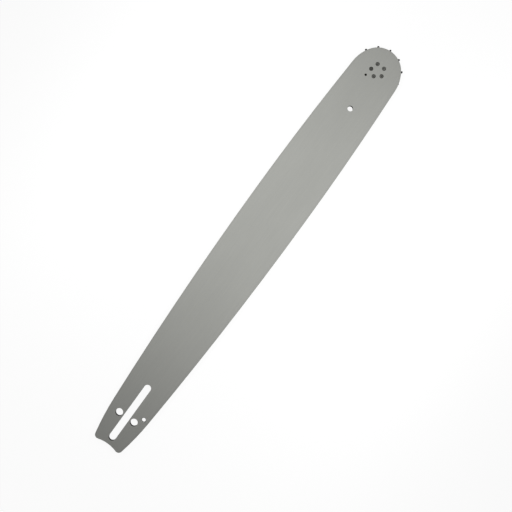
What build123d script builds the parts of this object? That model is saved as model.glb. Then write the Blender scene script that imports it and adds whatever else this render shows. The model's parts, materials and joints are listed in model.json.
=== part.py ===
from build123d import *

import os
from math import asin, cos, floor, pi, radians, sin, sqrt, tan

# Laminated chainsaw guide bar with a sprocket nose, lying flat, in millimetres.
# The origin is the centre of the stud slot at mid-thickness. +X runs along the bar to
# the nose, +Y across it, away from the oil hole, and +Z out of the upper side plate.

# Laminations
side_plate_thickness = 1.45
core_thickness = 1.35           # width of the chain groove
groove_depth = 7.0
rail_edge_chamfer = 0.3

# Nose rivets
rivet_count = 5
rivet_circle_radius = 7.77
rivet_diameter = 4.8
rivet_clearance = 0.02

# Nose bearing and sprocket, from the race outwards
race_radius = 12.9
roller_diameter = 3.0
roller_gap = 0.01               # least gap between two rollers
bearing_clearance = 0.03        # between a roller and each of its two tracks
sprocket_side_clearance = 0.05
sprocket_rim = 4.25             # from the bore to the floor of a gullet
sprocket_pocket_clearance = 1.4
tooth_count = 12
tooth_reach = 1.9               # tooth tips beyond the rails
tooth_tip_width = 1.8
tooth_flank_angle = 12.5        # between a flank and the tooth's centre line
tooth_phase = 3.5               # first tooth, turned from +X
grease_hole_diameter = 2.8
grease_hole_angle = 144.0       # turned from +X, half-way between two rivets

# Outline
slot_to_sprocket = 487.0        # stud slot's centre to the sprocket's axis
nose_shoulder = 2.45            # the rails' curve outside the nose radius, abeam of the axis
nose_blend_radius = 43.0
rail_rise = 5.0                 # each rail, from abeam of the axis to the widest station
rail_fall = 9.8                 # each rail, from the widest station to the tail's taper
widest_back = 187.0             # sprocket's axis to the widest station
taper_start = 2.6               # ahead of the slot's centre
taper_radius = 315.0
tail_bridge = 5.0               # metal behind the slot
tail_end_radius = 42.0          # hollow of the tail's end
tail_corner_radius = 4.8
groove_mouth_length = 24.0      # the groove flares over this length at the tail
groove_mouth_flare = 0.45

# Holes
slot_length = 77.6
slot_width = 8.4
tension_hole_diameter = 8.9
tension_hole_web = 1.75         # between the slot and each tension hole
tension_hole_back = 6.4         # behind the slot's centre
oil_hole_diameter = 4.5
oil_hole_mouth_diameter = 6.1   # countersunk through each side plate
oil_hole_ahead = 2.4            # ahead of the slot's centre
hanging_hole_diameter = 6.5
hanging_hole_back = 53.7        # behind the sprocket's axis

# Levels through the thickness
core_top = core_thickness / 2
plate_top = core_top + side_plate_thickness

# Radii round the sprocket's axis
roller_radius = roller_diameter / 2
track_radius = race_radius + bearing_clearance + roller_radius
bore_radius = track_radius + roller_radius + bearing_clearance
gullet_floor_radius = bore_radius + sprocket_rim
nose_radius = gullet_floor_radius + groove_depth
tooth_tip_radius = nose_radius + tooth_reach
pocket_radius = tooth_tip_radius + sprocket_pocket_clearance
sprocket_thickness = core_thickness - 2 * sprocket_side_clearance

# Stations along the bar
sprocket_x = slot_to_sprocket
widest_x = sprocket_x - widest_back
hanging_hole_x = sprocket_x - hanging_hole_back
tail_end_x = -(slot_length / 2 + tail_bridge)
run_out_x = tail_end_x - tail_end_radius / 2
half_width = nose_radius + nose_shoulder + rail_rise
sprocket_axis = Vector(sprocket_x, 0)


def arch_radius(reach, drop):
    """Radius of the arc that falls by drop within reach of its crest."""
    return (reach**2 + drop**2) / (2 * drop)


def circles_meet(first, first_radius, second, second_radius):
    """Where two circles meet, to the left of the way from the first centre to the second."""
    between = second - first
    along = (between.length**2 + first_radius**2 - second_radius**2) / (2 * between.length)
    aside = sqrt(first_radius**2 - along**2)
    way = between.normalized()
    return first + way * along + Vector(-way.Y, way.X) * aside


def short_arc(centre, start, end):
    """Arc about centre from start to end, the short way round."""
    middle = ((start - centre) + (end - centre)).normalized() * (start - centre).length
    return ThreePointArc(start, centre + middle, end)


def other_side(point):
    """The same point on the lower rail."""
    return Vector(point.X, -point.Y)


# Upper rail: centres of its arcs and the points where they run into each other
front_radius = arch_radius(widest_back, rail_rise)
rear_radius = arch_radius(widest_x - taper_start, rail_fall)
crest = Vector(widest_x, half_width)
front_centre = crest - Vector(0, front_radius)
rear_centre = crest - Vector(0, rear_radius)
blend_centre = circles_meet(
    front_centre, front_radius - nose_blend_radius, sprocket_axis, nose_blend_radius - nose_radius
)
nose_end = sprocket_axis + (sprocket_axis - blend_centre).normalized() * nose_radius
rail_front = front_centre + (blend_centre - front_centre).normalized() * front_radius
taper_top = Vector(taper_start, half_width - rail_fall)
taper_centre = taper_top + (rear_centre - taper_top).normalized() * taper_radius
run_out_rise = sqrt(taper_radius**2 - (run_out_x - taper_centre.X) ** 2)
run_out = Vector(run_out_x, taper_centre.Y + run_out_rise)


def blank_profile():
    """Outline of the bar, running on behind its tail."""
    upper = [
        short_arc(blend_centre, nose_end, rail_front),
        short_arc(front_centre, rail_front, crest),
        short_arc(rear_centre, crest, taper_top),
        short_arc(taper_centre, taper_top, run_out),
    ]
    lower = [arc.mirror(Plane.XZ) for arc in upper]
    nose = short_arc(sprocket_axis, other_side(nose_end), nose_end)
    back = Line(run_out, other_side(run_out))
    return make_face([*upper, *lower, nose, back])


def tail_hollow():
    """Round hollow that ends the tail."""
    return Pos(tail_end_x - tail_end_radius, 0) * Circle(tail_end_radius)


def plate_profile():
    """Outline of a side plate."""
    profile = blank_profile() - tail_hollow()
    corners = profile.vertices().sort_by(Axis.X)[:2]
    return fillet(corners, tail_corner_radius)


def core_profile():
    """Outline of the core: set in by the groove, hollowed round the sprocket, flush at the tail."""
    pocket = Pos(sprocket_x, 0) * Circle(pocket_radius)
    return offset(blank_profile(), -groove_depth) - tail_hollow() - pocket


def shared_holes():
    """Holes that go straight through all three laminations."""
    tension_y = (slot_width + tension_hole_diameter) / 2 + tension_hole_web
    holes = SlotOverall(slot_length, slot_width)
    for side in (1, -1):
        holes += Pos(-tension_hole_back, side * tension_y) * Circle(tension_hole_diameter / 2)
    holes += Pos(hanging_hole_x, 0) * Circle(hanging_hole_diameter / 2)
    return holes


def at_oil_hole(form):
    """Form moved to the oil hole's place, on the floor of the lower groove."""
    rail_y = rear_centre.Y + sqrt(rear_radius**2 - (widest_x - oil_hole_ahead) ** 2)
    return Pos(oil_hole_ahead, groove_depth - rail_y) * form


def oil_hole_mouth():
    """Oil hole in the upper side plate, which opens outwards."""
    mouth = Cone(oil_hole_diameter / 2, oil_hole_mouth_diameter / 2, side_plate_thickness)
    return at_oil_hole(Pos(0, 0, core_top + side_plate_thickness / 2) * mouth)


def grease_hole():
    """Hole in a side plate over the roller track."""
    turn = Rot(0, 0, grease_hole_angle)
    return Pos(sprocket_x, 0) * turn * Pos(track_radius, 0) * Circle(grease_hole_diameter / 2)


def rivet_form(clearance):
    """Rivet from face to face of the bar, or its hole, grown by clearance."""
    return Cylinder(rivet_diameter / 2 + clearance, 2 * plate_top)


def at_rivets(form):
    """One copy of form at each rivet's place, the first of them on the tail side."""
    places = PolarLocations(rivet_circle_radius, rivet_count, start_angle=180)
    return [Pos(sprocket_x, 0) * place * form for place in places]


def groove_mouth(core):
    """Wedges that thin a side plate towards the tail, on both sides of the core."""
    front = (tail_end_x + groove_mouth_length, core_top)
    back = (run_out_x, core_top)
    slope = groove_mouth_flare / groove_mouth_length
    deep = (run_out_x, core_top + slope * (front[0] - run_out_x))
    section = make_face(Polyline(front, back, deep, close=True))
    wedge = extrude(Plane.XZ * section, half_width, both=True)
    return wedge - extrude(core, plate_top)


def make_side_plate(core):
    """Upper side plate."""
    flat = plate_profile() - shared_holes() - grease_hole()
    plate = Pos(0, 0, core_top) * extrude(flat, side_plate_thickness)
    rails = plate.faces().sort_by(Axis.Z)[-1].outer_wire().edges()
    plate = chamfer(rails, rail_edge_chamfer)
    return plate - oil_hole_mouth() - at_rivets(rivet_form(rivet_clearance)) - groove_mouth(core)


def make_core(core):
    """Core plate between the side plates."""
    oil_hole = at_oil_hole(Circle(oil_hole_diameter / 2))
    return extrude(core - shared_holes() - oil_hole, core_top, both=True)


def make_race():
    """Inner race that the rivets clamp between the side plates."""
    disc = Pos(sprocket_x, 0) * Cylinder(race_radius, core_thickness)
    return disc - at_rivets(rivet_form(rivet_clearance))


def gullet_profile():
    """Space between two teeth along +X: a round floor and two straight flanks that open outwards."""
    half_pitch = pi / tooth_count
    opening = half_pitch + radians(tooth_flank_angle)
    tip_x = tooth_tip_radius * cos(half_pitch) + tooth_tip_width / 2 * sin(half_pitch)
    tip_y = tooth_tip_radius * sin(half_pitch) - tooth_tip_width / 2 * cos(half_pitch)
    flanks_meet_x = tip_x - tip_y / tan(opening)
    floor_x = (gullet_floor_radius - flanks_meet_x * sin(opening)) / (1 - sin(opening))
    floor_radius = floor_x - gullet_floor_radius
    inner_x = floor_x - floor_radius * sin(opening)
    inner_y = floor_radius * cos(opening)
    outer_x = tip_x + tooth_reach
    outer_y = tip_y + tooth_reach * tan(opening)
    one_flank = [(inner_x, inner_y), (outer_x, outer_y)]
    other_flank = [(x, -y) for x, y in reversed(one_flank)]
    wedge = make_face(Polyline(one_flank + other_flank, close=True))
    return wedge + Pos(floor_x, 0) * Circle(floor_radius)


def make_sprocket():
    """Nose sprocket, whose bore is the rollers' outer track."""
    gullet = gullet_profile()
    star = Circle(tooth_tip_radius) - Circle(bore_radius)
    first_gullet = tooth_phase + 180 / tooth_count
    for turn in PolarLocations(0, tooth_count, start_angle=first_gullet):
        star -= turn * gullet
    return Pos(sprocket_x, 0) * extrude(star, sprocket_thickness / 2, both=True)


def make_rollers():
    """Full ring of rollers between the race and the sprocket's bore."""
    count = floor(pi / asin((roller_radius + roller_gap / 2) / track_radius))
    roller = Cylinder(roller_radius, sprocket_thickness)
    places = PolarLocations(track_radius, count)
    return [Pos(sprocket_x, 0) * place * roller for place in places]


core_outline = core_profile()
side_plate = make_side_plate(core_outline)
pieces = {
    "side_plate_upper": side_plate,
    "side_plate_lower": side_plate.mirror(Plane.XY),
    "core_plate": make_core(core_outline),
    "bearing_race": make_race(),
    "nose_rivets": Compound(at_rivets(rivet_form(0))),
    "nose_sprocket": make_sprocket(),
}
for number, roller in enumerate(make_rollers(), start=1):
    pieces[f"bearing_roller_{number:02d}"] = roller

os.makedirs("parts", exist_ok=True)
for name, piece in pieces.items():
    export_step(piece, f"parts/{name}.step")
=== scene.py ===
import json
from math import cos, pi, radians, sin, sqrt

import bpy
from mathutils import Matrix, Vector


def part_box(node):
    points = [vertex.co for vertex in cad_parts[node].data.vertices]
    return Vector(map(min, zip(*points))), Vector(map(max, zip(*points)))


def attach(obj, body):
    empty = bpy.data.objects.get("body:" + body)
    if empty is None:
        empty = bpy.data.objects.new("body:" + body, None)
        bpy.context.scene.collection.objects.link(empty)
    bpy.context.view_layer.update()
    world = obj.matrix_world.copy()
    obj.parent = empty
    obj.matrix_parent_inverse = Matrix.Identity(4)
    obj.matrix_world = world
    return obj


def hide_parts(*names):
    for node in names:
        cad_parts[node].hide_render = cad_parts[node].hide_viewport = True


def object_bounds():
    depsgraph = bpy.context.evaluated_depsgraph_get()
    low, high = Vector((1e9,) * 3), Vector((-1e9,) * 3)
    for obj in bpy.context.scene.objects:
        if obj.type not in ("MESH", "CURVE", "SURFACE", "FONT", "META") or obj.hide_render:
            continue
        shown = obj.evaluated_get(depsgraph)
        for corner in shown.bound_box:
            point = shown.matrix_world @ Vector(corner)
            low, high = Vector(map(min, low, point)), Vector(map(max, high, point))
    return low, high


# Chainsaw guide bar lying flat on a pale floor, seen from straight above, in metres.
# The frame is the part's own: +X to the nose, +Z out of the upper side plate.

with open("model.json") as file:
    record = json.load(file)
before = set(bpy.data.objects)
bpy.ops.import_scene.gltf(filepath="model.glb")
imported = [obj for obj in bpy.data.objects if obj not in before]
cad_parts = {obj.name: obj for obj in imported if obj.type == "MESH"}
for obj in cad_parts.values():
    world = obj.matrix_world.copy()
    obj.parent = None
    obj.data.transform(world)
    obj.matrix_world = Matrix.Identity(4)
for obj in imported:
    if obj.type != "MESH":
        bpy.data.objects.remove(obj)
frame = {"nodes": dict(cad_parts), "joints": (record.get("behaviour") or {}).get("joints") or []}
cad_low, cad_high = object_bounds()
nodes = frame["nodes"]
joints = {joint["name"]: joint for joint in frame["joints"]}

# Rails, as the part has them
SPROCKET_X = joints["sprocket_spin"]["pos_m"][0]
BAR_TOP = cad_high.z
HALF_WIDTH = cad_high.y
NOSE_RADIUS = 0.02721
NOSE_BLEND_RADIUS = 0.043
RAIL_RISE = 0.005
RAIL_FALL = 0.0098
WIDEST_BACK = 0.187
TAPER_START = 0.0026
TAPER_RADIUS = 0.315

# Rivets with peened heads: a dimple inside a rim that rounds off
RIVET_RADIUS = 0.0024
RIVET_CIRCLE = SPROCKET_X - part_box("nose_rivets")[0].x - RIVET_RADIUS
RIVET_STEPS = 48
DIMPLE_RADIUS = 0.00118
DIMPLE_DEPTH = 0.00026
DIMPLE_STEPS = 7
RIM_DROP = 0.00034
RIM_STEPS = 8

# Camera, lamps and floor
IMAGE_TURN = -54.07             # degrees
CAMERA_PLACE = (0.2318, -0.01175, 0.7341)
CAMERA_LENS = 44.63             # millimetres, as the sensor's width
CAMERA_SENSOR = 36.0
CAMERA_NEAR = 0.01
LAMP_STATION = 0.324
LAMP_ASIDE = 0.215
LAMP_HEIGHT = 0.21
LAMP_SIZE = (0.12, 0.485)
LAMP_POWER = 0.70
FILL_LEVEL = 0.12
BACKDROP_WHITE = 0.95
FLOOR_SIZE = 8.0
FLOOR_STATION = 0.25
FLOOR_GAP = 0.00002
FLOOR_GLOW = 0.935
FLOOR_SHADE = 0.10
FLOOR_BOUNCE = 0.8

# Values that the finishes share. Colours are linear. A grain is a noise's scale along X, Y and Z
# (below 1 draws it out), its features in a metre and its detail. A pair of colours or roughnesses
# goes with the low and the high end of a grain. A tilt is how far a surface looks up or outwards,
# and a reach how far it lies inside the rail, where a finish starts to change and where it has.
WHITE = (1.0, 1.0, 1.0)
EVEN = (1.0, 1.0, 1.0)
GRAIN_ROUGHNESS = 0.55
WIDE_RANGE = (0.3, 0.7)
NARROW_RANGE = (0.35, 0.65)
FLAT_TILT = (0.3, 0.6)
STEEL_MARK_DEPTH = 0.000004

# Coating: slow clouds, hairlines of the steel under it, pigment, a soft peel and the rails' hardened band
COATING_TILT = (0.2, 0.4)
COATING_COLOURS = ((0.395, 0.400, 0.374), (0.415, 0.420, 0.393))
COATING_ROUGHNESS = (0.44, 0.52)
CLOUD_GRAIN = ((0.5, 1.0, 1.0), 30.0, 3.0)
HAIRLINE_GRAIN = ((0.012, 1.0, 1.0), 2600.0, 4.0)
HAIRLINE_COLOUR = (0.325, 0.330, 0.308)
HAIRLINE_SHARE = 0.42
HAIRLINE_ROUGHNESS = (-0.07, 0.07)
PIGMENT_GRAIN = (EVEN, 3600.0, 3.0)
PIGMENT_COLOUR = (0.440, 0.445, 0.418)
PIGMENT_SHARE = 0.50
PEEL_GRAIN = (EVEN, 800.0, 2.0)
PEEL_DEPTH = 0.000016
HARDENED_REACH = (0.0005, 0.0028)
HARDENED_COLOUR = (0.255, 0.250, 0.235)
HARDENED_SHARE = 0.16

# Ground rails, which fade into the cut wall round the tail's corners
GROUND_REACH = (0.0003, 0.0012)
GROUND_GRAIN = ((0.01, 0.01, 1.0), 7000.0, 3.0)
GROUND_COLOURS = ((0.25, 0.25, 0.245), (0.49, 0.48, 0.47))
GROUND_ROUGHNESS = (0.28, 0.48)

# Cut walls with upright furrows, near black partly from the cut's scale and partly as painted shade of
# the holes and the groove
CUT_GRAIN = ((1.0, 1.0, 0.03), 3800.0, 2.0)
# Near-black walls: partly the cut's scale, partly painted shade where holes and the groove lie in shadow
CUT_SCALE_AND_SHADE_COLOURS = ((0.005, 0.005, 0.005), (0.026, 0.025, 0.022))
CUT_ROUGHNESS = (0.98, 0.80)

# Rolled steel of the core and of the side plates' inner faces, with oil stains
INNER_TILT = (-0.6, -0.3)
ROLLED_GRAIN = ((0.03, 1.0, 1.0), 1200.0, 3.0)
ROLLED_COLOURS = ((0.16, 0.155, 0.15), (0.27, 0.265, 0.255))
ROLLED_METAL = 0.9
STAIN_GRAIN = ((0.3, 1.0, 1.0), 120.0, 4.0)
STAIN_RANGE = (0.42, 0.75)
STAIN_COLOUR = (0.105, 0.096, 0.082)
STAIN_GLOSS_RANGE = (0.35, 0.7)
STAIN_ROUGHNESS = (0.48, 0.32)

# Sprocket and bearing: turned steel under a dark film, the bearing's near-black grease partly painted
# shade, and the bearing's bright tracks
RING_GRAIN = (EVEN, 2600.0, 2.0)
RING_ROUGHNESS = (-0.04, 0.04)
FILM_GRAIN = (EVEN, 420.0, 4.0)
FILM_METAL = 0.3
FILM_SHEEN = 0.15               # that of a smooth varnish is 0.5
OXIDE_COLOURS = ((0.004, 0.004, 0.004), (0.011, 0.011, 0.011))
OXIDE_ROUGHNESS = (0.48, 0.62)
OXIDE_RING_DEPTH = 0.000003
# Near-black grease: partly real grease, partly painted shade of the bearing seen deep under the grease
# hole
GREASE_AND_SHADE_COLOURS = ((0.004, 0.004, 0.003), (0.020, 0.018, 0.015))
GREASE_ROUGHNESS = (0.43, 0.57)
TRACK_GRAIN = ((0.02, 0.02, 1.0), 9000.0, 2.0)
TRACK_COLOURS = ((0.33, 0.33, 0.335), (0.50, 0.50, 0.505))
TRACK_ROUGHNESS = (0.18, 0.30)
TRACK_DEPTH = 0.000001

# Rivets: phosphate, rubbed off the crowns, and the rings of the peening tool
RIVET_METAL = 0.35
RIVET_MARK_DEPTH = 0.000008
CRYSTAL_GRAIN = (EVEN, 5200.0, 4.0)
PHOSPHATE_COLOURS = ((0.016, 0.0165, 0.014), (0.054, 0.0545, 0.047))
PHOSPHATE_ROUGHNESS = 0.6
PEENING_GRAIN = (EVEN, 9000.0, 1.0)
WORN_COLOURS = ((0.14, 0.141, 0.128), (0.21, 0.211, 0.195))
WORN_ROUGHNESS = (0.36, 0.48)
RUB_STARTS = 0.00009            # below the bar's top
RUB_FULL = 0.00001
SMEAR_GRAIN = (EVEN, 520.0, 3.0)
SMEAR_RANGE = (0.4, 0.65)
SMEAR_SHARES = (0.4, 1.0)
RIVET_RUBS = (0.60, 0.74, 1.00, 0.56, 0.00)     # one for each rivet, from the tail side round


# Nodes of a material

def set_input(tree, target, value):
    """Links an input to a socket, or gives it a value."""
    if isinstance(value, bpy.types.NodeSocket):
        tree.links.new(value, target)
    else:
        target.default_value = value


def add_node(tree, kind, settings=None, values=None):
    """New node with its settings, and its inputs set to values or linked to sockets."""
    node = tree.nodes.new(kind)
    for name, setting in (settings or {}).items():
        setattr(node, name, setting)
    for name, value in (values or {}).items():
        set_input(tree, node.inputs[name], value)
    return node


def calculate(tree, operation, first, second=0.0):
    """Result of one sum on sockets or numbers."""
    return add_node(tree, "ShaderNodeMath", {"operation": operation}, {0: first, 1: second}).outputs[0]


def rescale(tree, value, low, high, new_low=0.0, new_high=1.0):
    """Value taken from one range to another and held within it."""
    values = {"Value": value, "From Min": low, "From Max": high, "To Min": new_low, "To Max": new_high}
    return add_node(tree, "ShaderNodeMapRange", None, values).outputs[0]


def spread(tree, noise, low=0.0, high=1.0):
    """Noise spread from low to high, going by the range that holds nearly all of it."""
    return rescale(tree, noise, *WIDE_RANGE, low, high)


def grain(tree, place, kind):
    """Noise of one kind of grain."""
    stretch, scale, detail = kind
    mapped = add_node(tree, "ShaderNodeMapping", None, {"Vector": place, "Scale": stretch}).outputs[0]
    values = {"Vector": mapped, "Scale": scale, "Detail": detail, "Roughness": GRAIN_ROUGHNESS}
    return add_node(tree, "ShaderNodeTexNoise", None, values).outputs[0]


def parts_of(tree, vector):
    """The three numbers of a vector."""
    return add_node(tree, "ShaderNodeSeparateXYZ", None, {0: vector}).outputs


def vector_of(tree, first, second=0.0):
    """Vector with these numbers and a third of zero."""
    return add_node(tree, "ShaderNodeCombineXYZ", None, {0: first, 1: second}).outputs[0]


def opaque(colour):
    """Colour with full cover; a socket stays as it is."""
    if isinstance(colour, bpy.types.NodeSocket):
        return colour
    return (*colour, 1.0)


def blend_colour(tree, share, first, second):
    """Colour between two colours."""
    values = {0: share, 6: opaque(first), 7: opaque(second)}
    return add_node(tree, "ShaderNodeMix", {"data_type": "RGBA"}, values).outputs[2]


def blend_number(tree, share, first, second):
    """Number between two numbers."""
    return add_node(tree, "ShaderNodeMix", None, {0: share, 2: first, 3: second}).outputs[0]


def relief(tree, height, depth, below=None):
    """Normal of a surface whose height varies by depth, on top of another relief."""
    values = {"Height": height, "Distance": depth, "Strength": 1.0}
    if below is not None:
        values["Normal"] = below
    return add_node(tree, "ShaderNodeBump", None, values).outputs[0]


def upward(tree):
    """How far a surface looks up: 1 on an upper face, 0 on a wall and -1 on a lower face."""
    return parts_of(tree, add_node(tree, "ShaderNodeTexCoord").outputs["Normal"])[2]


def flat_face(tree):
    """1 on upper and lower faces, 0 on walls."""
    return rescale(tree, calculate(tree, "ABSOLUTE", upward(tree)), *FLAT_TILT)


def attribute(tree, name):
    """Number that a mesh holds at each point."""
    return add_node(tree, "ShaderNodeAttribute", {"attribute_name": name}).outputs["Fac"]


def start_material(name):
    """New material, its node tree, and the surface's place."""
    material = bpy.data.materials.new(name)
    material.use_nodes = True
    tree = material.node_tree
    return material, tree, add_node(tree, "ShaderNodeTexCoord").outputs["Object"]


def dress(material, **sockets):
    """Links or sets the inputs of a material's shader, named with underscores for spaces."""
    tree = material.node_tree
    shader = tree.nodes["Principled BSDF"]
    for name, value in sockets.items():
        set_input(tree, shader.inputs[name.replace("_", " ")], value)


# Rails

def arch_radius(reach, drop):
    """Radius of the arc that falls by drop within reach of its crest."""
    return (reach**2 + drop**2) / (2 * drop)


def rail_arcs():
    """The upper rail's arcs from tail to nose: centre, radius and the station where each one ends."""
    axis = Vector((SPROCKET_X, 0.0))
    crest = Vector((SPROCKET_X - WIDEST_BACK, HALF_WIDTH))
    front_radius = arch_radius(WIDEST_BACK, RAIL_RISE)
    rear_radius = arch_radius(crest.x - TAPER_START, RAIL_FALL)
    front = crest - Vector((0.0, front_radius))
    rear = crest - Vector((0.0, rear_radius))
    taper_top = Vector((TAPER_START, crest.y - RAIL_FALL))
    taper = taper_top + (rear - taper_top).normalized() * TAPER_RADIUS

    # The blend's circle lies inside the front arc's and round the nose's, and touches both
    way = axis - front
    from_front = front_radius - NOSE_BLEND_RADIUS
    from_axis = NOSE_BLEND_RADIUS - NOSE_RADIUS
    along = (way.length_squared + from_front**2 - from_axis**2) / (2 * way.length)
    aside = sqrt(from_front**2 - along**2)
    way.normalize()
    blend = front + way * along + Vector((-way.y, way.x)) * aside
    front_end = front + (blend - front).normalized() * front_radius
    blend_end = axis + (axis - blend).normalized() * NOSE_RADIUS
    return (
        (taper, TAPER_RADIUS, TAPER_START),
        (rear, rear_radius, crest.x),
        (front, front_radius, front_end.x),
        (blend, NOSE_BLEND_RADIUS, blend_end.x),
        (axis, NOSE_RADIUS, None),
    )


def rail_distance(tree, place):
    """How far a place lies inside the nearer rail."""
    parts = parts_of(tree, place)
    station = parts[0]
    flat = vector_of(tree, station, calculate(tree, "ABSOLUTE", parts[1]))
    inside = None
    last_end = None
    for centre, radius, end in rail_arcs():
        values = {0: flat, 1: (*centre, 0.0)}
        reach = add_node(tree, "ShaderNodeVectorMath", {"operation": "DISTANCE"}, values).outputs["Value"]
        depth = calculate(tree, "SUBTRACT", radius, reach)
        if inside is None:
            inside = depth
        else:
            inside = blend_number(tree, calculate(tree, "GREATER_THAN", station, last_end), inside, depth)
        last_end = end
    return inside


# Materials

def cut_wall_scale_and_shade(tree, place):
    """Dark scale and painted shade on a cut wall: its colour, its roughness and the furrows of the cut.
    """
    furrow = grain(tree, place, CUT_GRAIN)
    colour = blend_colour(tree, spread(tree, furrow), *CUT_SCALE_AND_SHADE_COLOURS)
    return colour, spread(tree, furrow, *CUT_ROUGHNESS), furrow


def rolled_steel(tree, place):
    """Cold-rolled steel with oil in its grain: its colour, its roughness and its streaks."""
    streak = grain(tree, place, ROLLED_GRAIN)
    stain = grain(tree, place, STAIN_GRAIN)
    colour = blend_colour(tree, streak, *ROLLED_COLOURS)
    colour = blend_colour(tree, rescale(tree, stain, *STAIN_RANGE), colour, STAIN_COLOUR)
    return colour, rescale(tree, stain, *STAIN_GLOSS_RANGE, *STAIN_ROUGHNESS), streak


def ground_rail(tree, place):
    """Ground steel with lines along the rail: its colour, its roughness and the lines."""
    line = grain(tree, place, GROUND_GRAIN)
    colour = blend_colour(tree, spread(tree, line), *GROUND_COLOURS)
    return colour, spread(tree, line, *GROUND_ROUGHNESS), line


def coating(tree, place, inside):
    """Satin grey coating: its colour, its roughness and its hairlines."""
    cloud = grain(tree, place, CLOUD_GRAIN)
    hairline = grain(tree, place, HAIRLINE_GRAIN)
    pigment = grain(tree, place, PIGMENT_GRAIN)
    colour = blend_colour(tree, spread(tree, cloud), *COATING_COLOURS)
    lined = rescale(tree, hairline, *NARROW_RANGE, 0.0, HAIRLINE_SHARE)
    colour = blend_colour(tree, lined, colour, HAIRLINE_COLOUR)
    flecked = rescale(tree, pigment, *NARROW_RANGE, 0.0, PIGMENT_SHARE)
    colour = blend_colour(tree, flecked, colour, PIGMENT_COLOUR)
    hardened = rescale(tree, inside, *HARDENED_REACH, HARDENED_SHARE, 0.0)
    colour = blend_colour(tree, hardened, colour, HARDENED_COLOUR)
    rough = spread(tree, cloud, *COATING_ROUGHNESS)
    rough = calculate(tree, "ADD", rough, spread(tree, hairline, *HAIRLINE_ROUGHNESS))
    return colour, rough, hairline


def coated_plate():
    """Coating on the outer faces, ground steel on the rails, cut walls dark with scale and painted shade,
    and a bare inner face.
    """
    material, tree, place = start_material("plate_coating")
    side = calculate(tree, "SIGN", parts_of(tree, place)[2])
    outward = calculate(tree, "MULTIPLY", upward(tree), side)
    coated = rescale(tree, outward, *COATING_TILT)
    inner = rescale(tree, outward, *INNER_TILT, 1.0, 0.0)
    inside = rail_distance(tree, place)
    rail = rescale(tree, inside, *GROUND_REACH, 1.0, 0.0)

    # From the cut wall to the rail, to the inner face and to the coating
    colour, rough, marks = cut_wall_scale_and_shade(tree, place)
    for share, finish in (
        (rail, ground_rail(tree, place)),
        (inner, rolled_steel(tree, place)),
        (coated, coating(tree, place, inside)),
    ):
        colour = blend_colour(tree, share, colour, finish[0])
        rough = blend_number(tree, share, rough, finish[1])
        marks = blend_number(tree, share, marks, finish[2])
    metal = calculate(tree, "MAXIMUM", rail, calculate(tree, "MULTIPLY", inner, ROLLED_METAL))
    metal = calculate(tree, "MULTIPLY", metal, calculate(tree, "SUBTRACT", 1.0, coated))
    peel = calculate(tree, "MULTIPLY", grain(tree, place, PEEL_GRAIN), coated)
    skin = relief(tree, peel, PEEL_DEPTH, relief(tree, marks, STEEL_MARK_DEPTH))
    dress(material, Base_Color=colour, Metallic=metal, Roughness=rough, Normal=skin)
    return material


def core_steel():
    """Rolled core, dark with scale and painted shade where it was cut."""
    material, tree, place = start_material("core_steel")
    face = flat_face(tree)
    wall_scale_and_shade, wall_rough, furrow = cut_wall_scale_and_shade(tree, place)
    rolled, rolled_rough, streak = rolled_steel(tree, place)
    dress(
        material,
        Base_Color=blend_colour(tree, face, wall_scale_and_shade, rolled),
        Metallic=calculate(tree, "MULTIPLY", face, ROLLED_METAL),
        Roughness=blend_number(tree, face, wall_rough, rolled_rough),
        Normal=relief(tree, blend_number(tree, face, furrow, streak), STEEL_MARK_DEPTH),
    )
    return material


def turning_rings(tree, place):
    """Fine rings round the sprocket's axis, as turning and grinding leave them."""
    values = {0: place, 1: (SPROCKET_X, 0.0, 0.0)}
    moved = add_node(tree, "ShaderNodeVectorMath", {"operation": "SUBTRACT"}, values).outputs[0]
    parts = parts_of(tree, moved)
    values = {0: vector_of(tree, parts[0], parts[1])}
    reach = add_node(tree, "ShaderNodeVectorMath", {"operation": "LENGTH"}, values).outputs["Value"]
    return grain(tree, vector_of(tree, reach, parts[2]), RING_GRAIN)


def dark_film(tree, place, rings, colours, roughness):
    """Black oxide, or grease darkened as painted shade, over turned steel: its colour and its roughness.
    """
    film = grain(tree, place, FILM_GRAIN)
    colour = blend_colour(tree, rescale(tree, film, *NARROW_RANGE), *colours)
    rough = calculate(tree, "ADD", spread(tree, film, *roughness), spread(tree, rings, *RING_ROUGHNESS))
    return colour, rough


def sprocket_steel():
    """Black oxide on turned and stamped steel."""
    material, tree, place = start_material("sprocket_steel")
    rings = turning_rings(tree, place)
    colour, rough = dark_film(tree, place, rings, OXIDE_COLOURS, OXIDE_ROUGHNESS)
    dress(
        material,
        Base_Color=colour,
        Metallic=FILM_METAL,
        Roughness=rough,
        Specular_IOR_Level=FILM_SHEEN,
        Normal=relief(tree, rings, OXIDE_RING_DEPTH),
    )
    return material


def bearing_steel():
    """Bright ground running tracks between flat faces that are dark with grease and painted shade."""
    material, tree, place = start_material("bearing_steel")
    face = flat_face(tree)
    rings = turning_rings(tree, place)
    greased_and_shaded, greased_rough = dark_film(tree, place, rings, GREASE_AND_SHADE_COLOURS, GREASE_ROUGHNESS)
    line = grain(tree, place, TRACK_GRAIN)
    track = blend_colour(tree, spread(tree, line), *TRACK_COLOURS)
    dress(
        material,
        Base_Color=blend_colour(tree, face, track, greased_and_shaded),
        Metallic=blend_number(tree, face, 1.0, FILM_METAL),
        Roughness=blend_number(tree, face, spread(tree, line, *TRACK_ROUGHNESS), greased_rough),
        Specular_IOR_Level=FILM_SHEEN,
        Normal=relief(tree, blend_number(tree, face, line, rings), TRACK_DEPTH),
    )
    return material


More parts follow.
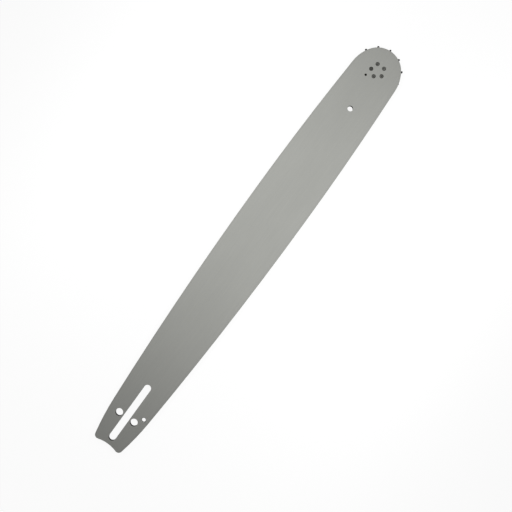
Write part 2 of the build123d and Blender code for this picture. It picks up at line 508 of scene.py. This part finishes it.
def rivet_steel():
    """Phosphated rivet, rubbed on the crown of its peened head, with the rings of the peening tool."""
    material, tree, place = start_material("rivet_steel")
    crystal = grain(tree, place, CRYSTAL_GRAIN)
    smear = grain(tree, place, SMEAR_GRAIN)
    ring = grain(tree, vector_of(tree, attribute(tree, "reach")), PEENING_GRAIN)

    # The rub is strongest on the crown and uneven across it
    level = calculate(tree, "ABSOLUTE", parts_of(tree, place)[2])
    crown = rescale(tree, level, BAR_TOP - RUB_STARTS, BAR_TOP - RUB_FULL)
    rubbed = calculate(tree, "MULTIPLY", crown, rescale(tree, smear, *SMEAR_RANGE, *SMEAR_SHARES))
    rubbed = calculate(tree, "MULTIPLY", rubbed, attribute(tree, "rub"))
    phosphate = blend_colour(tree, crystal, *PHOSPHATE_COLOURS)
    worn = blend_colour(tree, spread(tree, ring), *WORN_COLOURS)
    dress(
        material,
        Base_Color=blend_colour(tree, rubbed, phosphate, worn),
        Metallic=RIVET_METAL,
        Roughness=blend_number(tree, rubbed, PHOSPHATE_ROUGHNESS, spread(tree, ring, *WORN_ROUGHNESS)),
        Normal=relief(tree, crystal, RIVET_MARK_DEPTH, relief(tree, ring, RIVET_MARK_DEPTH)),
    )
    return material


# Peened rivets

def rivet_section():
    """Half section of a rivet from its upper centre to its lower one: distance from its axis, level."""
    upper = []
    for step in range(DIMPLE_STEPS):
        share = step / DIMPLE_STEPS
        upper.append((DIMPLE_RADIUS * share, BAR_TOP - DIMPLE_DEPTH * (1 + cos(pi * share)) / 2))
    for step in range(RIM_STEPS + 1):
        turn = pi / 2 * step / RIM_STEPS
        reach = DIMPLE_RADIUS + (RIVET_RADIUS - DIMPLE_RADIUS) * sin(turn)
        upper.append((reach, BAR_TOP - RIM_DROP * (1 - cos(turn))))
    lower = [(reach, -level) for reach, level in reversed(upper)]
    return upper + lower


def turned_rivet():
    """One rivet about the Z axis, closed at its two centres: points, their reaches and faces."""
    section = rivet_section()
    points = [Vector((0.0, 0.0, section[0][1]))]
    reaches = [0.0]
    for reach, level in section[1:-1]:
        for step in range(RIVET_STEPS):
            angle = 2 * pi * step / RIVET_STEPS
            points.append(Vector((reach * cos(angle), reach * sin(angle), level)))
            reaches.append(reach)
    last = len(points)
    points.append(Vector((0.0, 0.0, section[-1][1])))
    reaches.append(0.0)

    faces = []
    last_ring = last - RIVET_STEPS
    for step in range(RIVET_STEPS):
        after = (step + 1) % RIVET_STEPS
        faces.append((0, 1 + step, 1 + after))
        for near in range(1, last_ring, RIVET_STEPS):
            far = near + RIVET_STEPS
            faces.append((near + step, far + step, far + after, near + after))
        faces.append((last_ring + step, last, last_ring + after))
    return points, reaches, faces


def peened_rivets():
    """The rivets as one piece, with each point's reach from its rivet's axis and its rivet's rub."""
    rivet_points, rivet_reaches, rivet_faces = turned_rivet()
    points = []
    faces = []
    rubs = []
    for number, rub in enumerate(RIVET_RUBS):
        turn = pi + 2 * pi * number / len(RIVET_RUBS)
        middle = Vector((SPROCKET_X + RIVET_CIRCLE * cos(turn), RIVET_CIRCLE * sin(turn), 0.0))
        first = len(points)
        points += [middle + point for point in rivet_points]
        faces += [[first + index for index in face] for face in rivet_faces]
        rubs += [rub] * len(rivet_points)
    mesh = bpy.data.meshes.new("peened_rivets")
    mesh.from_pydata(points, [], faces)
    mesh.validate()
    mesh.shade_smooth()
    for name, values in (("rub", rubs), ("reach", rivet_reaches * len(RIVET_RUBS))):
        mesh.attributes.new(name, "FLOAT", "POINT").data.foreach_set("value", values)
    piece = bpy.data.objects.new("peened_rivets", mesh)
    bpy.context.scene.collection.objects.link(piece)
    return piece


def give(piece, material):
    """Puts the material in every slot of a piece."""
    if not piece.material_slots:
        piece.data.materials.append(material)
    for place in piece.material_slots:
        place.material = material


plate_finish = coated_plate()
give(nodes["side_plate_upper"], plate_finish)
give(nodes["side_plate_lower"], plate_finish)
give(nodes["core_plate"], core_steel())
give(nodes["nose_sprocket"], sprocket_steel())
bearing_finish = bearing_steel()
for name, node in nodes.items():
    if name.startswith("bearing_"):
        give(node, bearing_finish)

rivets = peened_rivets()
give(rivets, rivet_steel())
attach(rivets, "bar")
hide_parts("nose_rivets")


# Floor, light and camera

def blank_tree(owner):
    """Emptied node tree of a material or a world."""
    owner.use_nodes = True
    owner.node_tree.nodes.clear()
    return owner.node_tree


def seen_directly(tree):
    """1 for what the camera sees itself, in a reflection or through glass, else 0."""
    rays = add_node(tree, "ShaderNodeLightPath").outputs
    first = calculate(tree, "MAXIMUM", rays["Is Camera Ray"], rays["Is Glossy Ray"])
    return calculate(tree, "MAXIMUM", first, rays["Is Transmission Ray"])


def lay_floor():
    """Pale floor under the bar, white to the eye, which keeps the bar's shadow."""
    place = (FLOOR_STATION, 0.0, cad_low.z - FLOOR_GAP)
    bpy.ops.mesh.primitive_plane_add(size=FLOOR_SIZE, location=place)
    floor = bpy.context.object
    floor.name = "floor"
    material = bpy.data.materials.new("floor")
    tree = blank_tree(material)
    seen = seen_directly(tree)
    tone = blend_colour(tree, seen, [FLOOR_BOUNCE] * 3, [FLOOR_SHADE] * 3)
    matt = add_node(tree, "ShaderNodeBsdfDiffuse", None, {"Color": tone})
    values = {"Color": opaque(WHITE), "Strength": calculate(tree, "MULTIPLY", seen, FLOOR_GLOW)}
    glow = add_node(tree, "ShaderNodeEmission", None, values)
    both = add_node(tree, "ShaderNodeAddShader", None, {0: matt.outputs[0], 1: glow.outputs[0]})
    add_node(tree, "ShaderNodeOutputMaterial", None, {"Surface": both.outputs[0]})
    give(floor, material)


def light_world():
    """Even fill light, white where it is seen directly."""
    world = bpy.data.worlds.new("studio")
    bpy.context.scene.world = world
    tree = blank_tree(world)
    lights = []
    for strength in (FILL_LEVEL, BACKDROP_WHITE):
        values = {"Color": opaque(WHITE), "Strength": strength}
        lights.append(add_node(tree, "ShaderNodeBackground", None, values).outputs[0])
    values = {0: seen_directly(tree), 1: lights[0], 2: lights[1]}
    mixed = add_node(tree, "ShaderNodeMixShader", None, values)
    add_node(tree, "ShaderNodeOutputWorld", None, {"Surface": mixed.outputs[0]})


def hang_lamp(name, side):
    """Soft box beside the bar, aimed at its brightest station."""
    lamp = bpy.data.lights.new(name, "AREA")
    lamp.shape = "RECTANGLE"
    lamp.size, lamp.size_y = LAMP_SIZE
    lamp.energy = LAMP_POWER
    holder = bpy.data.objects.new(name, lamp)
    holder.location = (LAMP_STATION, side * LAMP_ASIDE, LAMP_HEIGHT)
    aim = Vector((LAMP_STATION, 0.0, 0.0)) - holder.location
    holder.rotation_euler = aim.to_track_quat("-Z", "X").to_euler()
    holder.visible_camera = False
    bpy.context.scene.collection.objects.link(holder)


def set_camera():
    """Camera square to the upper plate, turned so that the bar slants as it does in the picture."""
    data = bpy.data.cameras.new("camera")
    data.sensor_width = CAMERA_SENSOR
    data.lens = CAMERA_LENS
    data.clip_start = CAMERA_NEAR
    camera = bpy.data.objects.new("camera", data)
    camera.matrix_world = Matrix.Translation(CAMERA_PLACE) @ Matrix.Rotation(radians(IMAGE_TURN), 4, "Z")
    bpy.context.scene.collection.objects.link(camera)
    bpy.context.scene.camera = camera


lay_floor()
light_world()
hang_lamp("lamp_left", 1)
hang_lamp("lamp_right", -1)
set_camera()
bpy.context.scene.view_settings.view_transform = "Standard"
